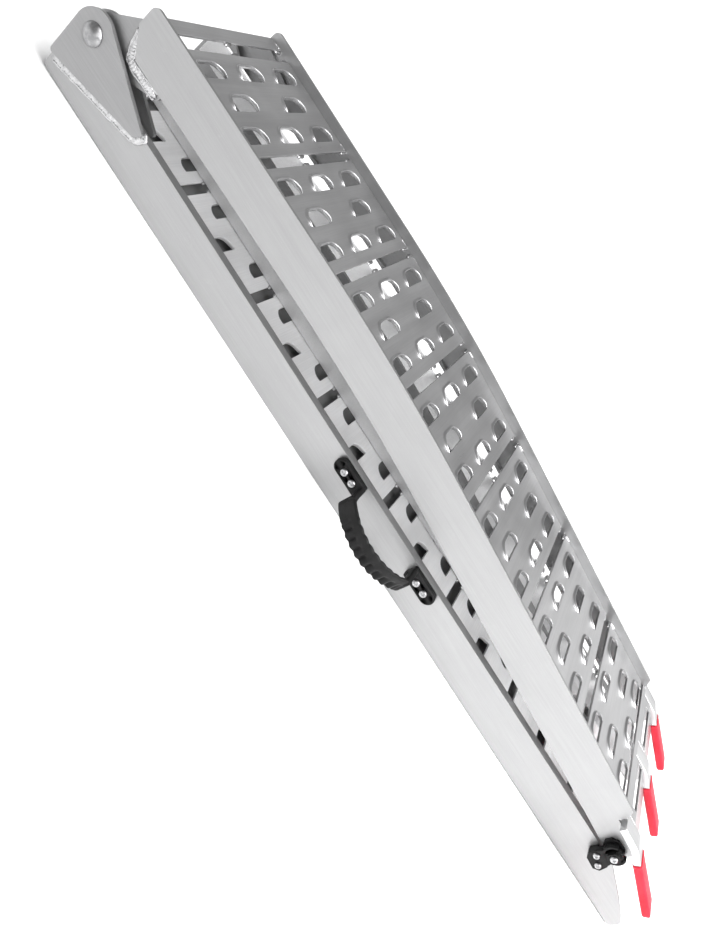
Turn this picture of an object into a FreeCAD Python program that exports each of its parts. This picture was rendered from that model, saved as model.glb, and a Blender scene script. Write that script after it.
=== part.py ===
"""Folding loading ramp, folded for carrying: two arched aluminium halves on one hinge line.

The lower half lies with its traction face down, the lip half lies on it with its traction face up.
+X runs from the hinge to the lip, +Y from the handle side to the far side, +Z is up. Millimetres.
Every outline is drawn about the hinge pin, with the outer face of the handle-side rail at y = 0, and
the finished pieces are moved together so that the origin is under the middle of the folded ramp.
"""
import FreeCAD, Part
import Sketcher
import math
import os

from FreeCAD import Placement, Rotation, Vector

os.makedirs("parts", exist_ok=True)
doc = FreeCAD.newDocument("folding_ramp")

DIMENSIONS = {
    # overall
    "rail_spread": 254.0,       # outer face to outer face of the two rails
    "pin_x": -565.5,            # hinge pin from the origin
    "near_face_y": -103.15,      # outer face of the handle-side rail from the origin
    "pin_z": 74.33,
    # rail section
    "web_thickness": 4.0,
    "rail_depth": 54.0,
    "flange_width": 12.0,
    "flange_thickness": 4.0,
    "rail_corner": 8.0,
    "side_play": 0.3,           # the lip half is this much narrower on each side
    # side profile of each half: straight, bend, straight
    "bend_start": 320.0,
    "bend_end": 580.0,
    "lower_start_x": -23.5,
    "lower_start_depth": 18.9,
    "lower_rise": 0.2,
    "lower_turn": 0.4,
    "lower_end_x": 1156.0,
    "foot_start_x": 1069.0,
    "lip_start_x": 25.0,
    "lip_start_depth": 21.4,
    "lip_rise": 1.3,
    "lip_turn": 5.8,
    "lip_end_x": 1065.0,
    "lip_top_end_x": 1008.0,
    # deck
    "tread_thickness": 3.0,
    "deck_recess": 12.0,
    "tread_length": 127.0,
    "tread_pitch": 140.6,
    "lip_first_tread": 62.0,
    "lower_first_tread": 8.0,
    "lower_tread_length": 131.0,
    "lower_tread_pitch": 145.0,
    "last_tread_length": 99.0,
    "slot_gap": 14.0,
    "hole_length": 48.0,
    "hole_width": 19.0,
    "hole_corner": 15.0,
    "rim_width": 2.0,
    "rim_height": 2.5,
    "wide_hole_pitch": 80.5,
    "narrow_hole_pitch": 115.0,
    "lower_narrow_hole_pitch": 97.0,
    "spine_height": 30.0,
    "spine_thickness": 5.0,
    # hinge
    "plate_thickness": 5.0,
    "plate_lobe": 25.0,
    "arm_lobe": 22.0,
    "inner_plate_y": 16.0,
    "arm_y": 4.3,
    "bolt_diameter": 12.0,
    "bolt_hole": 12.1,
    "bolt_head": 24.5,
    "bolt_dome": 7.0,
    "nut_width": 19.0,
    "nut_height": 10.0,
    "spacer_diameter": 24.0,
    "spacer_play": 0.2,
    # lip
    "finger_width": 26.0,
    "finger_thickness": 8.5,
    "finger_root_x": 1019.0,
    "finger_bend_x": 1050.0,
    "finger_tip_x": 1142.5,
    "finger_droop": 20.8,
    "sleeve_wall": 1.3,
    "sleeve_start_x": 1070.0,
    # handle
    "handle_x": 592.0,
    "handle_z": -29.5,
    "handle_half_length": 97.0,
    "cap_length": 46.0,
    "cap_height": 19.5,
    "cap_thickness": 9.0,
    "grip_half_length": 58.5,
    "grip_stand_off": 60.0,
    "grip_end_stand_off": 31.0,
    "grip_thickness": 7.0,
    "grip_height": 25.0,
    "grip_top_z": -20.5,
    "neck_width": 7.0,
    "neck_height": 9.0,
    "screw_head": 9.0,
    # latch
    "knob_x": 1051.5,
    "knob_z": -4.5,
    "jaw_thickness": 7.7,
    "jaw_foot_thickness": 11.0,
    "jaw_outer": 13.5,
    "jaw_bore": 10.5,
    "jaw_mouth": 14.0,
    "cam_width": 12.0,
    "cam_height": 20.0,
    "cam_thickness": 8.4,
    "knob_radius": 8.0,
    "knob_thickness": 3.6,
    "knob_screw": 5.0,
    "knob_bore": 5.15,
    "latch_base_thickness": 3.0,
}

sheet = doc.addObject("Spreadsheet::Sheet", "Sheet")
for row, (alias, value) in enumerate(DIMENSIONS.items(), start=1):
    sheet.set(f"A{row}", alias)
    sheet.set(f"B{row}", str(value))
    sheet.setAlias(f"B{row}", alias)
doc.recompute()


def size(alias):
    """The number that the sheet holds for one dimension."""
    return float(sheet.get(alias))


SPREAD = size("rail_spread")
MIDDLE = SPREAD / 2
WEB = size("web_thickness")
PLAY = size("side_play")
DEPTH = size("rail_depth")
PLATE = size("plate_thickness")
DECK_TOP = DEPTH - size("deck_recess")
DECK_UNDER = DECK_TOP - size("tread_thickness")
ORIGIN = Vector(size("pin_x"), size("near_face_y"), size("pin_z"))
BURIED = 1.0                # how far a joined pad reaches into the solid that it grows from

sub_parts = []


# ---------------------------------------------------------------- side profile of the two halves

class HalfProfile:
    """Side profile of one half: v is measured from the pin towards that half's traction side."""

    def __init__(self, name, side):
        self.side = side
        self.start_u = size(f"{name}_start_x")
        self.start_v = size(f"{name}_start_depth")
        self.rise = math.radians(size(f"{name}_rise"))
        self.fall = self.rise - math.radians(size(f"{name}_turn"))
        self.bend_u = size("bend_start")
        bend_v = self.start_v + (self.bend_u - self.start_u) * math.tan(self.rise)
        span = size("bend_end") - self.bend_u
        self.radius = span / (math.sin(self.rise) - math.sin(self.fall))
        self.centre_u = self.bend_u + self.radius * math.sin(self.rise)
        self.centre_v = bend_v - self.radius * math.cos(self.rise)

    def bend_limits(self, offset):
        """Where the bend starts and ends on the line that lies offset above the lower edge."""
        reach = self.radius + offset
        return (self.centre_u - reach * math.sin(self.rise), self.centre_u - reach * math.sin(self.fall))

    def height(self, u, offset):
        """v at u on the line that lies offset above the rail's lower edge."""
        first, last = self.bend_limits(offset)
        reach = self.radius + offset
        if u < first:
            return self.centre_v + reach * math.cos(self.rise) + (u - first) * math.tan(self.rise)
        if u > last:
            return self.centre_v + reach * math.cos(self.fall) + (u - last) * math.tan(self.fall)
        return self.centre_v + math.sqrt(reach**2 - (u - self.centre_u) ** 2)

    def on(self, u, offset):
        return (u, self.height(u, offset))

    def run(self, offset, start_u, end_u):
        """Corner points from start_u to end_u, with ("arc", middle) before the far end of the bend."""
        first, last = self.bend_limits(offset)
        middle = ("arc", self.on((first + last) / 2, offset))
        if start_u < end_u:
            inner = [self.on(first, offset), middle, self.on(last, offset)]
        else:
            inner = [self.on(last, offset), middle, self.on(first, offset)]
        return [self.on(start_u, offset), *inner, self.on(end_u, offset)]

    def draw(self, outline):
        """The outline in x and z."""
        drawn = []
        for point in outline:
            if point[0] == "arc":
                drawn.append(("arc", (point[1][0], self.side * point[1][1])))
            else:
                drawn.append((point[0], self.side * point[1]))
        return drawn


LOWER = HalfProfile("lower", -1)
LIP = HalfProfile("lip", 1)


def polar(centre, radius, degrees):
    angle = math.radians(degrees)
    return (centre[0] + radius * math.cos(angle), centre[1] + radius * math.sin(angle))


def arc_between(centre, radius, start, end):
    """Outline points of an arc, its angles in degrees."""
    return [polar(centre, radius, start), ("arc", polar(centre, radius, (start + end) / 2)),
            polar(centre, radius, end)]


def rounded(before, corner, after, radius):
    """Outline points of one corner with its tip rounded off."""
    tip = Vector(*corner, 0)
    one = (Vector(*before, 0) - tip).normalize()
    two = (Vector(*after, 0) - tip).normalize()
    half = one.getAngle(two) / 2
    centre = tip + (one + two).normalize() * (radius / math.sin(half))
    reach = radius / math.tan(half)
    middle = centre + (tip - centre).normalize() * radius
    start = tip + one * reach
    end = tip + two * reach
    return [(start.x, start.y), ("arc", (middle.x, middle.y)), (end.x, end.y)]


# ---------------------------------------------------------------- building blocks

def finish(part, label, shift=(0, 0, 0), rotation=Rotation()):
    """Name a sub-part and move it from the drawing frame to the ramp's own frame."""
    part.Label = label
    part.Placement = Placement(ORIGIN + Vector(*shift), rotation)
    sub_parts.append(part)
    return part


def new_body(label):
    return doc.addObject("PartDesign::Body", label)


def plane_sketch(body, role, name):
    sketch = body.newObject("Sketcher::SketchObject", name)
    plane = next(feature for feature in body.Origin.OriginFeatures if feature.Role == role)
    sketch.AttachmentSupport = (plane, "")
    sketch.MapMode = "FlatFace"
    return sketch


def add_outline(sketch, outline):
    """Close an outline of (x, y) corners, where ("arc", (x, y)) is a point that the next run bends through."""
    corners = [Vector(*point, 0) for point in outline if point[0] != "arc"]
    bends = {}
    count = 0
    for point in outline:
        if point[0] == "arc":
            bends[count - 1] = Vector(*point[1], 0)
        else:
            count += 1
    for index, start in enumerate(corners):
        end = corners[(index + 1) % len(corners)]
        if index in bends:
            sketch.addGeometry(Part.Arc(start, bends[index], end), False)
        elif start.distanceToPoint(end) > 1e-6:
            sketch.addGeometry(Part.LineSegment(start, end), False)


def add_circle(sketch, centre, alias):
    """A circle whose diameter comes from the sheet."""
    index = sketch.addGeometry(Part.Circle(Vector(*centre, 0), Vector(0, 0, 1), size(alias) / 2), False)
    constraint = sketch.addConstraint(Sketcher.Constraint("Diameter", index, size(alias)))
    sketch.setExpression(f"Constraints[{constraint}]", f"Sheet.{alias}")


def add_rectangle(sketch, centre, length_rule, width_rule, length, width):
    """A rectangle whose two sides follow the sheet."""
    x, y = centre
    corners = [Vector(x - length / 2, y - width / 2, 0), Vector(x + length / 2, y - width / 2, 0),
               Vector(x + length / 2, y + width / 2, 0), Vector(x - length / 2, y + width / 2, 0)]
    first = sketch.GeometryCount
    for index in range(4):
        sketch.addGeometry(Part.LineSegment(corners[index], corners[(index + 1) % 4]), False)
    for index in range(4):
        following = first + (index + 1) % 4
        sketch.addConstraint(Sketcher.Constraint("Coincident", first + index, 2, following, 1))
    for index, kind in enumerate(("Horizontal", "Vertical", "Horizontal", "Vertical")):
        sketch.addConstraint(Sketcher.Constraint(kind, first + index))
    across = sketch.addConstraint(Sketcher.Constraint("DistanceX", first, 1, first, 2, length))
    up = sketch.addConstraint(Sketcher.Constraint("DistanceY", first + 1, 1, first + 1, 2, width))
    sketch.setExpression(f"Constraints[{across}]", length_rule)
    sketch.setExpression(f"Constraints[{up}]", width_rule)


def pad(body, sketch, rule, reverse=False, midplane=False):
    feature = body.newObject("PartDesign::Pad", f"Pad_{sketch.Name}")
    feature.Profile = sketch
    feature.setExpression("Length", rule)
    feature.Reversed = reverse
    feature.Midplane = midplane
    sketch.Visibility = False
    doc.recompute()
    return feature


def pocket(body, sketch, rule=None):
    """Cut a sketch right through, or to a depth on both sides of its plane."""
    feature = body.newObject("PartDesign::Pocket", f"Pocket_{sketch.Name}")
    feature.Profile = sketch
    feature.Midplane = True
    if rule:
        feature.setExpression("Length", rule)
    else:
        feature.Type = "ThroughAll"
    sketch.Visibility = False
    before = body.Shape.Volume
    doc.recompute()
    if feature.Shape.Volume >= before:
        raise RuntimeError(f"{sketch.Name} cuts nothing")
    return feature


def side_body(label, outline, rule, shift_y, holes=()):
    """A plate whose outline is drawn in x and z, thick along +Y from shift_y."""
    body = new_body(label)
    sketch = plane_sketch(body, "XZ_Plane", f"{label}_outline")
    add_outline(sketch, outline)
    pad(body, sketch, rule, reverse=True)
    if holes:
        drilled = plane_sketch(body, "XZ_Plane", f"{label}_holes")
        for centre, alias in holes:
            add_circle(drilled, centre, alias)
        pocket(body, drilled)
    return finish(body, label, shift=(0, shift_y, 0))


def cylinder_y(name, centre, start_y, radius_rule, length_rule):
    """A cylinder along +Y, still in the drawing frame."""
    rod = doc.addObject("Part::Cylinder", name)
    rod.setExpression("Radius", radius_rule)
    rod.setExpression("Height", length_rule)
    rod.Placement = Placement(Vector(centre[0], start_y, centre[1]), Rotation(Vector(1, 0, 0), -90))
    return rod


def joined(kind, label, pieces, cut=None):
    """A boolean or a group of drawing-frame pieces."""
    result = doc.addObject(kind, label)
    if kind == "Part::Cut":
        result.Base, result.Tool = pieces[0], cut
    elif kind == "Part::Compound":
        result.Links = pieces
    else:
        result.Shapes = pieces
    return result


# ---------------------------------------------------------------- rails

def rail_section(label, half, web_outline, flange_from, flange_to, far):
    """A rail: an upright web and a flange along its lower edge, turned towards the deck."""
    body = new_body(label)
    web = plane_sketch(body, "XZ_Plane", f"{label}_web")
    add_outline(web, half.draw(web_outline))
    pad(body, web, "Sheet.web_thickness", reverse=not far)
    flange = plane_sketch(body, "XZ_Plane", f"{label}_flange")
    lower = half.run(0, flange_from, flange_to)
    upper = half.run(size("flange_thickness"), flange_to, flange_from)
    add_outline(flange, half.draw(lower + upper))
    pad(body, flange, "Sheet.flange_width", reverse=not far)
    inset = PLAY if half is LIP else 0
    finish(body, label, shift=(0, SPREAD - inset if far else inset, 0))


def lower_web():
    """Square at the hinge, with a tapered foot that reaches past the lip half."""
    corner = size("rail_corner")
    start = size("lower_start_x")
    end = size("lower_end_x")
    foot = size("foot_start_x")
    top_start = LOWER.on(start, DEPTH)
    hinge_corner = rounded(LOWER.on(start + 50, DEPTH), top_start, LOWER.on(start, 0), corner)
    toe_tip = (end, LOWER.height(end, 37))
    toe_ground = (end, LOWER.height(end, DEPTH))
    taper = [LOWER.on(foot, 0), (foot + 55, LOWER.height(foot, 21)), (foot + 77, LOWER.height(foot, 31))]
    toe = rounded(taper[-1], toe_tip, toe_ground, corner)
    heel = rounded(toe_tip, toe_ground, LOWER.on(end - 50, DEPTH), corner / 2)
    edge = LOWER.run(DEPTH, end, start)[1:-1]
    return [LOWER.on(start, 0), *LOWER.run(0, start, foot)[1:-1], *taper, *toe, *heel, *edge, *hinge_corner]


def lip_web():
    """Cut back below the hinge corner, and notched at the other end for the outer finger."""
    corner = size("rail_corner")
    start = size("lip_start_x")
    end = size("lip_end_x")
    top_end = size("lip_top_end_x")
    notch_x = top_end + 6
    hinge_foot = LIP.on(start + 21, 0)
    hinge_knee = (start, LIP.height(start, 27))
    top_start = LIP.on(start, DEPTH)
    lobe = rounded(LIP.on(start + 50, DEPTH), top_start, hinge_knee, corner)
    under_finger = -size("finger_thickness")
    notch = [(end, finger_top(end) + under_finger - 0.3), (size("finger_bend_x"), finger_top(size("finger_bend_x"))
             + under_finger), (notch_x, finger_top(notch_x) + under_finger)]
    shoulder = [(notch_x, LIP.height(notch_x, DECK_TOP + 4)), LIP.on(top_end, DEPTH)]
    edge = LIP.run(DEPTH, top_end, start)[1:-1]
    return [hinge_foot, *LIP.run(0, start, end)[1:-1], LIP.on(end, 0), *notch, *shoulder, *edge, *lobe,
            hinge_knee]


def finger_top(x):
    """z of the upper face of a finger: flush with the deck, then drooping past its bend."""
    bend = size("finger_bend_x")
    if x <= bend:
        return LIP.height(x, DECK_TOP)
    return LIP.height(bend, DECK_TOP) - (x - bend) * math.tan(math.radians(size("finger_droop")))


for side_name, is_far in (("near", False), ("far", True)):
    rail_section(f"rail_lower_{side_name}", LOWER, lower_web(), 30.0, 1060.0, is_far)
    rail_section(f"rail_lip_{side_name}", LIP, lip_web(), 92.0, 1060.0, is_far)


# ---------------------------------------------------------------- treads, strips and spines

def tread_hole(x, y, grow):
    """A D-shaped hole: its round side towards the hinge, its straight side towards the lip."""
    half_length = size("hole_length") / 2 + grow
    corner = size("hole_corner") + grow
    left = x - size("hole_width") / 2 - grow
    right = x + size("hole_width") / 2
    return [(right, y - half_length), (right, y + half_length),
            *arc_between((left + corner, y + half_length - corner), corner, 90, 180),
            *arc_between((left + corner, y - half_length + corner), corner, 180, 270)]


def hole_places(half, rows, length):
    """Centres of the holes in rows of three, two and three."""
    wide = size("wide_hole_pitch")
    narrow = size("lower_narrow_hole_pitch" if half is LOWER else "narrow_hole_pitch")
    places = []
    for index, from_edge in enumerate(rows):
        across = (-wide, 0.0, wide) if index % 2 == 0 else (-narrow / 2, narrow / 2)
        places.extend((from_edge - length / 2, y) for y in across)
    return places


def deck_width(half):
    """The clear width between the two rails of a half, as a sheet rule and as a number."""
    if half is LIP:
        return "Sheet.rail_spread - 2 * Sheet.web_thickness - 2 * Sheet.side_play", SPREAD - 2 * (WEB + PLAY)
    return "Sheet.rail_spread - 2 * Sheet.web_thickness", SPREAD - 2 * WEB


def tread(label, half, start_u, length_rule, length, rows):
    """One perforated plate, drawn flat about its own middle and then set on the half's profile."""
    body = new_body(label)
    plate = plane_sketch(body, "XY_Plane", f"{label}_plate")
    width_rule, width = deck_width(half)
    add_rectangle(plate, (0, 0), length_rule, width_rule, length, width)
    pad(body, plate, "Sheet.tread_thickness", reverse=True)
    rims = plane_sketch(body, "XY_Plane", f"{label}_rims")
    holes = plane_sketch(body, "XY_Plane", f"{label}_openings")
    for x, y in hole_places(half, rows, length):
        add_outline(rims, tread_hole(x, y, size("rim_width")))
        add_outline(holes, tread_hole(x, y, 0))
    pad(body, rims, "Sheet.rim_height")
    pocket(body, holes)
    first = half.height(start_u, DECK_TOP)
    last = half.height(start_u + length, DECK_TOP)
    tilt = math.degrees(math.atan2(last - first, length))
    rotation = Rotation(Vector(0, 1, 0), -half.side * tilt)
    if half is LOWER:
        rotation = rotation.multiply(Rotation(Vector(1, 0, 0), 180))
    finish(body, label, shift=(start_u + length / 2, MIDDLE, half.side * (first + last) / 2), rotation=rotation)


TREADS_PER_HALF = 7
ROWS = (24.0, 63.0, 103.0)
LAST_ROWS = (18.0, 55.0, 88.5)
LOWER_ROWS = (25.0, 65.5, 106.0)
for number in range(TREADS_PER_HALF):
    tread(f"tread_lower_{number + 1}", LOWER, size("lower_first_tread") + number * size("lower_tread_pitch"),
          "Sheet.lower_tread_length", size("lower_tread_length"), LOWER_ROWS)
for number in range(TREADS_PER_HALF - 1):
    tread(f"tread_lip_{number + 1}", LIP, size("lip_first_tread") + number * size("tread_pitch"),
          "Sheet.tread_length", size("tread_length"), ROWS)
tread(f"tread_lip_{TREADS_PER_HALF}", LIP, size("lip_first_tread") + (TREADS_PER_HALF - 1) * size("tread_pitch"),
      "Sheet.last_tread_length", size("last_tread_length"), LAST_ROWS)


def strip(label, half, start_u, end_u):
    """A plain cross strip at the level of the deck."""
    corners = [half.on(start_u, DECK_UNDER), half.on(end_u, DECK_UNDER),
               half.on(end_u, DECK_TOP), half.on(start_u, DECK_TOP)]
    rule, width = deck_width(half)
    side_body(label, half.draw(corners), rule, MIDDLE - width / 2)


LOWER_LAST_TREAD_END = (size("lower_first_tread") + (TREADS_PER_HALF - 1) * size("lower_tread_pitch")
                        + size("lower_tread_length"))
strip("hinge_strip_lip", LIP, size("lip_start_x") + 2, size("lip_first_tread") - 17.0)
strip("hinge_strip_lower", LOWER, size("lower_start_x") + 1, size("lower_first_tread") - size("slot_gap"))
strip("foot_plate", LOWER, LOWER_LAST_TREAD_END + size("slot_gap"), size("foot_start_x") - 4)


def spine(label, half, start_u, end_u):
    """The flat bar on edge that carries the middle of every tread of one half."""
    top = DECK_UNDER - 0.8
    upper = half.run(top, end_u, start_u)
    lower = half.run(top - size("spine_height"), start_u, end_u)
    side_body(label, half.draw(lower + upper), "Sheet.spine_thickness", MIDDLE - size("spine_thickness") / 2)


spine("spine_lower", LOWER, size("lower_start_x") + 2, size("foot_start_x") - 6)
spine("spine_lip", LIP, size("lip_start_x") + 3, size("finger_root_x") - 8)


# ---------------------------------------------------------------- hinge

PIN = (0.0, 0.0)


def clevis_outline():
    """Round over the pin, square against the end of the lower rail and pointed along its edge."""
    lobe = size("plate_lobe")
    tip = (106.0, -17.0)
    tangent = math.degrees(math.atan2(tip[1], tip[0]) + math.acos(lobe / math.hypot(*tip)))
    heel = (-lobe, -54.0)
    toe = (98.0, -27.0)
    crown = arc_between(PIN, lobe, tangent, 180)
    return [*crown, *rounded(crown[-1], heel, toe, 4.0), *rounded(heel, toe, tip, 3.0),
            *rounded(toe, tip, crown[0], 3.0)]


def arm_outline():
    """Round over the pin, and widening to lie behind the hinge end of the lip rail."""
    lobe = size("arm_lobe")
    top = (27.0, 57.0)
    far_top = (84.0, LIP.height(84.0, 24))
    far_foot = (88.0, LIP.height(88.0, -7))
    rise = math.degrees(math.atan2(top[1], top[0]) + math.acos(lobe / math.hypot(*top)))
    fall = math.degrees(math.atan2(far_foot[1], far_foot[0]) - math.acos(lobe / math.hypot(*far_foot)))
    crown = arc_between(PIN, lobe, rise, fall + 360)
    return [*crown, *rounded(crown[-1], far_foot, far_top, 4.0), far_top, top]


def hinge_bolt(label, far):
    """A round-headed bolt, turned about its axis."""
    body = new_body(label)
    sketch = plane_sketch(body, "XY_Plane", f"{label}_profile")
    head = size("bolt_head") / 2
    shank = size("bolt_diameter") / 2
    under = -PLATE
    end = size("inner_plate_y") + PLATE + size("nut_height") + 3
    crown_point = (head * 0.74, under - size("bolt_dome") * 0.62)
    outline = [(0.0, end), (0.0, under - size("bolt_dome")), ("arc", crown_point), (head, under - 1.2),
               (head, under), (shank, under), (shank, end - 1), (shank - 1, end)]
    add_outline(sketch, outline)
    turned = body.newObject("PartDesign::Revolution", f"{label}_turned")
    turned.Profile = sketch
    turned.ReferenceAxis = (sketch, ["V_Axis"])
    turned.Angle = 360
    sketch.Visibility = False
    doc.recompute()
    if far:
        return finish(body, label, shift=(0, SPREAD, 0), rotation=Rotation(Vector(0, 0, 1), 180))
    return finish(body, label)


def hinge_nut(label, far):
    """A hexagon nut on the inner side of the clevis."""
    start = size("inner_plate_y") + PLATE
    body = new_body(label)
    sketch = plane_sketch(body, "XZ_Plane", f"{label}_hexagon")
    across_corners = size("nut_width") / math.cos(math.radians(30)) / 2
    add_outline(sketch, [polar(PIN, across_corners, 60 * corner) for corner in range(6)])
    pad(body, sketch, "Sheet.nut_height", reverse=True)
    bore = plane_sketch(body, "XZ_Plane", f"{label}_bore")
    add_circle(bore, PIN, "bolt_hole")
    pocket(body, bore)
    return finish(body, label, shift=(0, SPREAD - start - size("nut_height") if far else start, 0))


def hinge_spacers(label, far):
    """Two washers that keep the arm in the middle of the clevis."""
    play = size("spacer_play")
    outer_end = size("arm_y")
    inner_start = outer_end + PLATE
    spans = (("outer", 0.0, outer_end - play), ("inner", inner_start + play, size("inner_plate_y")))
    rules = {"outer": "Sheet.arm_y - Sheet.spacer_play",
             "inner": "Sheet.inner_plate_y - Sheet.arm_y - Sheet.plate_thickness - Sheet.spacer_play"}
    washers = []
    for name, start, end in spans:
        start_y = SPREAD - end if far else start
        ring = cylinder_y(f"{label}_{name}", PIN, start_y, "Sheet.spacer_diameter / 2", rules[name])
        hole = cylinder_y(f"{label}_{name}_hole", PIN, start_y, "Sheet.bolt_hole / 2", rules[name])
        washers.append(joined("Part::Cut", f"{label}_{name}_washer", [ring], hole))
    return finish(joined("Part::Compound", label, washers), label)


for side_name, is_far in (("near", False), ("far", True)):
    pin_hole = [(PIN, "bolt_hole")]
    inner = size("inner_plate_y")
    arm = size("arm_y")
    side_body(f"clevis_outer_{side_name}", clevis_outline(), "Sheet.plate_thickness",
              SPREAD if is_far else -PLATE, pin_hole)
    side_body(f"clevis_inner_{side_name}", clevis_outline(), "Sheet.plate_thickness",
              SPREAD - inner - PLATE if is_far else inner, pin_hole)
    side_body(f"hinge_arm_{side_name}", arm_outline(), "Sheet.plate_thickness",
              SPREAD - arm - PLATE if is_far else arm, pin_hole)
    hinge_bolt(f"hinge_bolt_{side_name}", is_far)
    hinge_nut(f"hinge_nut_{side_name}", is_far)
    hinge_spacers(f"hinge_spacers_{side_name}", is_far)


# ---------------------------------------------------------------- lip

def finger_outline(start_x, end_x, grow):
    """Side outline of a finger between two places, thicker by grow on both faces."""
    bend = size("finger_bend_x")
    below = size("finger_thickness") / math.cos(math.radians(size("finger_droop")))
    stations = [start_x, bend, end_x] if start_x < bend else [start_x, end_x]
    upper = [(x, finger_top(x) + grow) for x in stations]
    depth = {x: below if x > bend else size("finger_thickness") for x in stations}
    lower = [(x, finger_top(x) - depth[x] - grow) for x in reversed(stations)]
    return upper, lower


def finger(label, middle_y):
    """A bent flat bar that hooks over the tailgate."""
    tip = size("finger_tip_x")
    upper, lower = finger_outline(size("finger_root_x"), tip, 0)
    body = new_body(label)
    sketch = plane_sketch(body, "XZ_Plane", f"{label}_side")
    add_outline(sketch, upper + lower)
    pad(body, sketch, "Sheet.finger_width", midplane=True)
    return finish(body, label, shift=(0, middle_y, 0))


def finger_sleeve(label, middle_y):
    """The dipped vinyl skin on the end of a finger."""
    wall = size("sleeve_wall")
    start = size("sleeve_start_x")
    upper, lower = finger_outline(start, size("finger_tip_x") + wall, wall)
    body = new_body(label)
    sketch = plane_sketch(body, "XZ_Plane", f"{label}_side")
    end_top = rounded(upper[0], upper[1], lower[0], 4.0)
    end_bottom = rounded(upper[1], lower[0], lower[1], 4.0)
    add_outline(sketch, [upper[0], *end_top, *end_bottom, lower[1]])
    pad(body, sketch, "Sheet.finger_width + 2 * Sheet.sleeve_wall", midplane=True)
    inside = plane_sketch(body, "XZ_Plane", f"{label}_inside")
    core_upper, core_lower = finger_outline(start - BURIED, size("finger_tip_x"), 0)
    add_outline(inside, core_upper + core_lower)
    pocket(body, inside, "Sheet.finger_width")
    return finish(body, label, shift=(0, middle_y, 0))


FINGER_ROWS = {"near": WEB / 2, "middle": MIDDLE, "far": SPREAD - WEB / 2}
for row_name, row_y in FINGER_ROWS.items():
    finger(f"finger_{row_name}", row_y)
    finger_sleeve(f"finger_sleeve_{row_name}", row_y)


def lip_plate():
    """A bent cross plate: level with the deck, then sloping down between the fingers."""
    thickness = size("tread_thickness")
    start = size("finger_root_x") - 8
    bend = size("finger_root_x") + 17
    end = bend + 40
    top = [LIP.on(start, DECK_TOP), LIP.on(bend, DECK_TOP), (end, 7.0)]
    bottom = [(x, z - thickness) for x, z in reversed(top)]
    bottom[0] = (end - thickness * 0.5, top[-1][1] - thickness)
    body = new_body("lip_plate")
    sketch = plane_sketch(body, "XZ_Plane", "lip_plate_side")
    add_outline(sketch, top + bottom)
    rule, width = deck_width(LIP)
    inset = MIDDLE - width / 2
    pad(body, sketch, rule, reverse=True)
    openings = plane_sketch(body, "XY_Plane", "lip_plate_openings")
    root = size("finger_root_x")
    half_finger = size("finger_width") / 2
    for row_y in FINGER_ROWS.values():
        low = row_y - inset - half_finger
        high = row_y - inset + half_finger
        sleeve = size("sleeve_start_x") - 4.0
        around = size("sleeve_wall") + 0.3
        add_outline(openings, [(root, low), (sleeve, low), (sleeve, low - around), (end + 5, low - around),
                               (end + 5, high + around), (sleeve, high + around), (sleeve, high), (root, high)])
    slot = (bend - 10, bend - 1)
    for middle_y in (66.0, 180.0):
        low, high = middle_y - 37.0, middle_y + 37.0
        add_outline(openings, [(slot[0], low), (slot[1], low), (slot[1], high), (slot[0], high)])
    pocket(body, openings)
    return finish(body, "lip_plate", shift=(0, inset, 0))


lip_plate()


# ---------------------------------------------------------------- handle

SCREW_PLACES = (66.5, 81.0)


def handle_cap(label, direction):
    """The end of the handle: a flat pad with a round outer end and two screw holes."""
    middle_x, middle_z = size("handle_x"), size("handle_z")
    half_height = size("cap_height") / 2
    outer = size("handle_half_length")
    inner = outer - size("cap_length")
    centre = (middle_x + direction * (outer - half_height), middle_z)
    end_arc = arc_between(centre, half_height, -90, 90 if direction > 0 else -270)
    outline = [*end_arc, (middle_x + direction * inner, middle_z + half_height),
               (middle_x + direction * inner, middle_z - half_height)]
    body = new_body(label)
    sketch = plane_sketch(body, "XZ_Plane", f"{label}_outline")
    add_outline(sketch, outline)
    pad(body, sketch, "Sheet.cap_thickness", reverse=True)
    holes = plane_sketch(body, "XZ_Plane", f"{label}_holes")
    for reach in SCREW_PLACES:
        add_circle(holes, (middle_x + direction * reach, middle_z), "knob_bore")
    pocket(body, holes)
    return finish(body, label, shift=(0, -size("cap_thickness"), 0))


def handle_grip():
    """A flexible ribbed strap that bows away from the rail, on two narrow necks, so that fingers fit behind."""
    middle_x = size("handle_x")
    half = size("grip_half_length")
    bow = size("grip_stand_off") - size("grip_end_stand_off")
    radius = (half**2 + bow**2) / (2 * bow)
    spread = math.degrees(math.asin(half / radius))
    centre = (middle_x, radius - size("grip_stand_off"))
    front = arc_between(centre, radius, -90 - spread, -90 + spread)
    back = arc_between(centre, radius - size("grip_thickness"), -90 + spread, -90 - spread)
    body = new_body("handle_grip")
    strap = plane_sketch(body, "XY_Plane", "handle_grip_bow")
    add_outline(strap, front + back)
    pad(body, strap, "Sheet.grip_height", reverse=True)
    necks = plane_sketch(body, "XY_Plane", "handle_grip_necks")
    for direction in (-1, 1):
        outer = middle_x + direction * (half - 1)
        inner = middle_x + direction * (half - 1 - size("neck_width"))
        root = -size("cap_thickness")
        add_outline(necks, [(outer, root), (outer, -size("grip_end_stand_off") + 0.5),
                            (inner, -size("grip_end_stand_off") - 4), (inner, root)])
    pad(body, necks, "Sheet.neck_height", reverse=True)
    return finish(body, "handle_grip", shift=(0, 0, size("grip_top_z")))


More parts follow.
